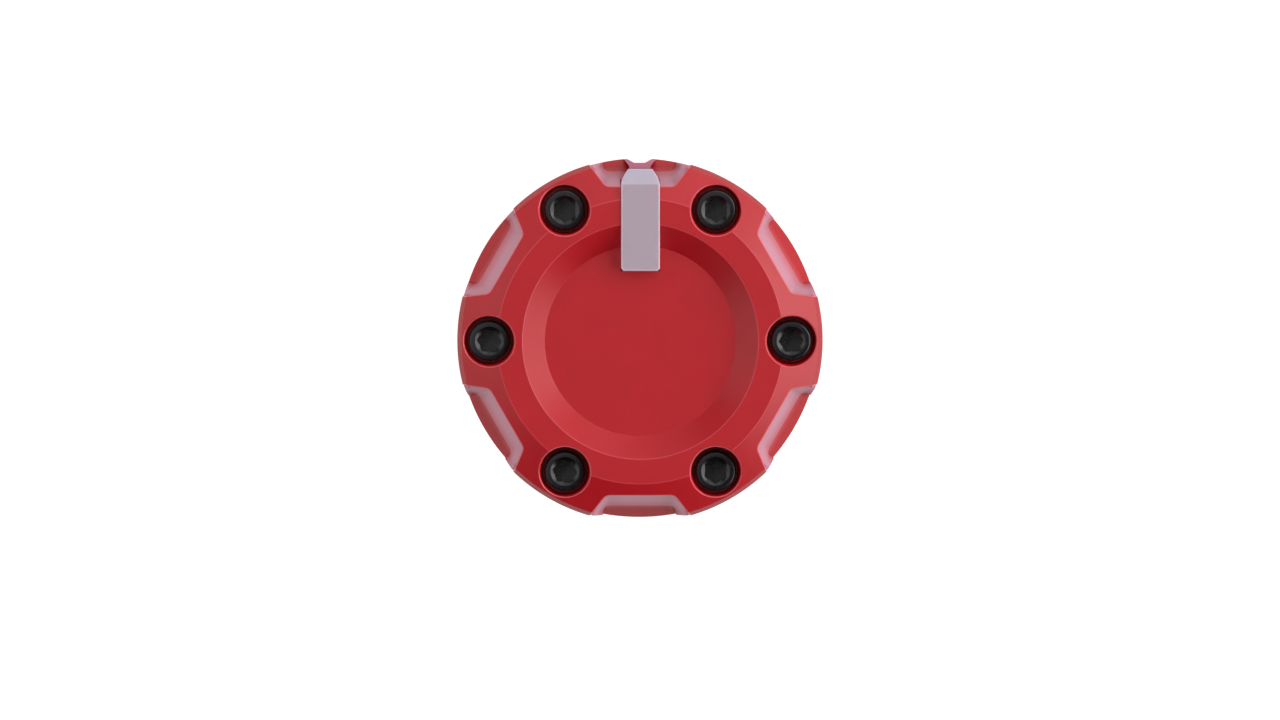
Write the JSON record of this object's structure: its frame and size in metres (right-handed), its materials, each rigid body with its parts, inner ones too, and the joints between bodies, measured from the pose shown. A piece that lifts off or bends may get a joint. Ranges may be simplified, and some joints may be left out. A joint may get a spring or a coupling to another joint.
{
  "type": "control knob",
  "caption": "Round dial knob: dished red cover over a frosted light ring and pointer, clamped to a hollow base by socket-head screws, turning on a D-shaft spindle in a flanged bush.",
  "frame": {"origin": "centre of the knob on the panel's face, which the bush's rear face rests on", "axes": "+Z out of the front face along the spindle, +Y towards the pointer at rest, +X to the right seen from the front"},
  "size_m": [0.052, 0.0516, 0.0214],
  "materials": {
    "cover_red": "satin, fine-grained red glass-filled nylon",
    "base_red": "satin, fine-grained red glass-filled nylon",
    "frosted_lens": "frosted translucent acrylic that picks up the red beside it",
    "frosted_pointer": "frosted translucent acrylic, cool grey-mauve",
    "black_screw": "black oxide, slightly oily",
    "insert_brass": "turned",
    "socket_nylon": "moulded black nylon",
    "spring_steel": "bright spring steel",
    "spindle_steel": "turned steel",
    "bush_zinc": "die-cast zinc, passivated"
  },
  "bodies": {
    "seat": {"spindle_bush": "bush_zinc", "thrust_washer": "spindle_steel"},
    "knob": {"front_cover": "cover_red", "light_ring": "frosted_lens", "pointer": "frosted_pointer", "base_body": "base_red", "shaft_socket": "socket_nylon", "spring_clip": "spring_steel", "spindle": "spindle_steel", "spindle_clip": "spring_steel", "screw_1": "black_screw", "screw_2": "black_screw", "screw_3": "black_screw", "screw_4": "black_screw", "screw_5": "black_screw", "screw_6": "black_screw", "insert_1": "insert_brass", "insert_2": "insert_brass", "insert_3": "insert_brass", "insert_4": "insert_brass", "insert_5": "insert_brass", "insert_6": "insert_brass"}
  },
  "joints": [
    {"name": "knob_turn", "type": "hinge", "parent": "seat", "child": "knob", "pos_m": [0, 0, 0], "axis": [0, 0, 1], "range_deg": [-135, 135]}
  ]
}
